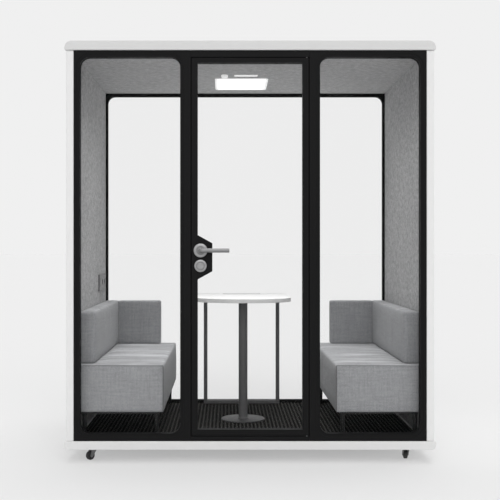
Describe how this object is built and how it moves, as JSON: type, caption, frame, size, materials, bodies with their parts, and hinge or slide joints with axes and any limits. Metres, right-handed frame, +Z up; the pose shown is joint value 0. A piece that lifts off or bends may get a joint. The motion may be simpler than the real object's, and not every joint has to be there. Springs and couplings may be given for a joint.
{
  "type": "acoustic office pod",
  "caption": "Free-standing acoustic meeting pod on castors: white shell, glazed front and rear, hinged glass door, facing upholstered benches, small table, ceiling light and fan.",
  "frame": {"origin": "on the floor, in the middle of the overall box seen from above, which takes in the lever in front of the door", "axes": "+Z up, the door and glazed front face -Y, +X to the right of someone facing the door"},
  "size_m": [2.02, 1.446, 2.3],
  "materials": {
    "white_board": "satin white lacquer on board",
    "black_frame": "matte black powder coat",
    "wall_felt": "matte grey felt",
    "ceiling_felt": "matte grey felt",
    "carpet": "matte dark ribbed pile",
    "glass": "polished clear laminated glass",
    "seal_rubber": "matte",
    "satin_steel": "satin",
    "sofa_fabric": "matte woven upholstery",
    "black_steel": "satin black paint",
    "table_white": "satin white laminate",
    "flap_grey": "satin",
    "grey_steel": "satin grey paint",
    "dark_steel": "satin dark grey paint",
    "white_plastic": "satin",
    "diffuser": "matte",
    "fan_plastic": "matte",
    "module_grey": "satin",
    "castor_steel": "satin",
    "castor_tyre": "matte"
  },
  "bodies": {
    "shell": {"base_tray": "white_board", "carpet": "carpet", "left_wall_shell": "white_board", "right_wall_shell": "white_board", "left_wall_felt": "wall_felt", "right_wall_felt": "wall_felt", "roof_cap": "white_board", "ceiling_panel": "ceiling_felt", "front_left_frame": "black_frame", "front_left_glass": "glass", "front_right_frame": "black_frame", "front_right_glass": "glass", "door_head": "black_frame", "door_threshold": "black_frame", "top_pivot_pin": "satin_steel", "bottom_pivot_pin": "satin_steel", "door_seal": "seal_rubber", "strike_plate": "satin_steel", "rear_frame": "black_frame", "rear_glass": "glass", "left_sofa_seat": "sofa_fabric", "left_sofa_side_back": "sofa_fabric", "left_sofa_rear_back": "sofa_fabric", "left_sofa_leg_frame": "black_steel", "right_sofa_seat": "sofa_fabric", "right_sofa_side_back": "sofa_fabric", "right_sofa_rear_back": "sofa_fabric", "right_sofa_leg_frame": "black_steel", "table_top": "table_white", "table_base_disc": "grey_steel", "table_column": "dark_steel", "table_rear_frame": "dark_steel", "light_frame": "white_plastic", "light_diffuser": "diffuser", "air_vent": "white_plastic", "presence_sensor": "white_plastic", "fan_housing": "fan_plastic", "wall_module_bezel": "module_grey"},
    "door": {"door_frame": "black_frame", "door_glass": "glass", "lock_case": "black_frame", "outer_rose": "satin_steel", "inner_rose": "satin_steel", "key_cylinder": "satin_steel"},
    "lever": {"outer_lever": "satin_steel", "inner_lever": "satin_steel"},
    "latch": {"latch_bolt": "satin_steel"},
    "turn": {"thumb_turn": "satin_steel"},
    "bolt": {"dead_bolt": "satin_steel"},
    "flap": {"cable_flap": "flap_grey"},
    "rocker": {"rocker_switch": "module_grey"},
    "fan": {"fan_impeller": "fan_plastic"},
    "fork_front_left": {"castor_fork_front_left": "castor_steel"},
    "wheel_front_left": {"castor_wheel_front_left": "castor_tyre"},
    "fork_front_right": {"castor_fork_front_right": "castor_steel"},
    "wheel_front_right": {"castor_wheel_front_right": "castor_tyre"},
    "fork_rear_left": {"castor_fork_rear_left": "castor_steel"},
    "wheel_rear_left": {"castor_wheel_rear_left": "castor_tyre"},
    "fork_rear_right": {"castor_fork_rear_right": "castor_steel"},
    "wheel_rear_right": {"castor_wheel_rear_right": "castor_tyre"}
  },
  "joints": [
    {"name": "door_swing", "type": "hinge", "parent": "shell", "child": "door", "pos_m": [0.309, -0.659, 1.18], "axis": [0, 0, 1], "range_deg": [0, 105]},
    {"name": "lever_turn", "type": "hinge", "parent": "door", "child": "lever", "pos_m": [-0.27, -0.645, 1.158], "axis": [0, 1, 0], "range_deg": [0, 38], "stiffness_Nm_per_rad": 1.5, "springref_deg": -40.11},
    {"name": "latch_slide", "type": "slide", "parent": "door", "child": "latch", "axis": [1, 0, 0], "range_m": [0, 0.012]},
    {"name": "thumb_turn_turn", "type": "hinge", "parent": "door", "child": "turn", "pos_m": [-0.27, -0.645, 1.074], "axis": [0, 1, 0], "range_deg": [0, 90]},
    {"name": "bolt_slide", "type": "slide", "parent": "door", "child": "bolt", "axis": [-1, 0, 0], "range_m": [0, 0.02]},
    {"name": "flap_lift", "type": "hinge", "parent": "shell", "child": "flap", "pos_m": [-0.026, 0.618, 0.8613], "axis": [-1, 0, 0], "range_deg": [0, 95]},
    {"name": "rocker_tilt", "type": "hinge", "parent": "shell", "child": "rocker", "pos_m": [-0.9532, 0.36133, 0.9475], "axis": [0, 1, 0], "range_deg": [-5, 5]},
    {"name": "fan_spin", "type": "hinge", "parent": "shell", "child": "fan", "pos_m": [-0.009, 0.003, 2.27], "axis": [0, 0, 1], "continuous": true},
    {"name": "swivel_front_left", "type": "hinge", "parent": "shell", "child": "fork_front_left", "pos_m": [-0.867, -0.567, 0.07], "axis": [0, 0, 1], "continuous": true},
    {"name": "roll_front_left", "type": "hinge", "parent": "fork_front_left", "child": "wheel_front_left", "pos_m": [-0.88232, -0.57986, 0.02469], "axis": [0.6428, -0.766, 0], "continuous": true},
    {"name": "swivel_front_right", "type": "hinge", "parent": "shell", "child": "fork_front_right", "pos_m": [0.867, -0.567, 0.07], "axis": [0, 0, 1], "continuous": true},
    {"name": "roll_front_right", "type": "hinge", "parent": "fork_front_right", "child": "wheel_front_right", "pos_m": [0.867, -0.547, 0.02469], "axis": [-1, 0, 0], "continuous": true},
    {"name": "swivel_rear_left", "type": "hinge", "parent": "shell", "child": "fork_rear_left", "pos_m": [-0.867, 0.613, 0.07], "axis": [0, 0, 1], "continuous": true},
    {"name": "roll_rear_left", "type": "hinge", "parent": "fork_rear_left", "child": "wheel_rear_left", "pos_m": [-0.86353, 0.6327, 0.02469], "axis": [-0.9848, 0.1736, 0], "continuous": true},
    {"name": "swivel_rear_right", "type": "hinge", "parent": "shell", "child": "fork_rear_right", "pos_m": [0.867, 0.613, 0.07], "axis": [0, 0, 1], "continuous": true},
    {"name": "roll_rear_right", "type": "hinge", "parent": "fork_rear_right", "child": "wheel_rear_right", "pos_m": [0.857, 0.63032, 0.02469], "axis": [-0.866, -0.5, 0], "continuous": true}
  ],
  "couplings": [
    {"joint": "latch_slide", "follows": "lever_turn", "m_per_rad": 0.01809},
    {"joint": "bolt_slide", "follows": "thumb_turn_turn", "m_per_rad": 0.01273}
  ]
}
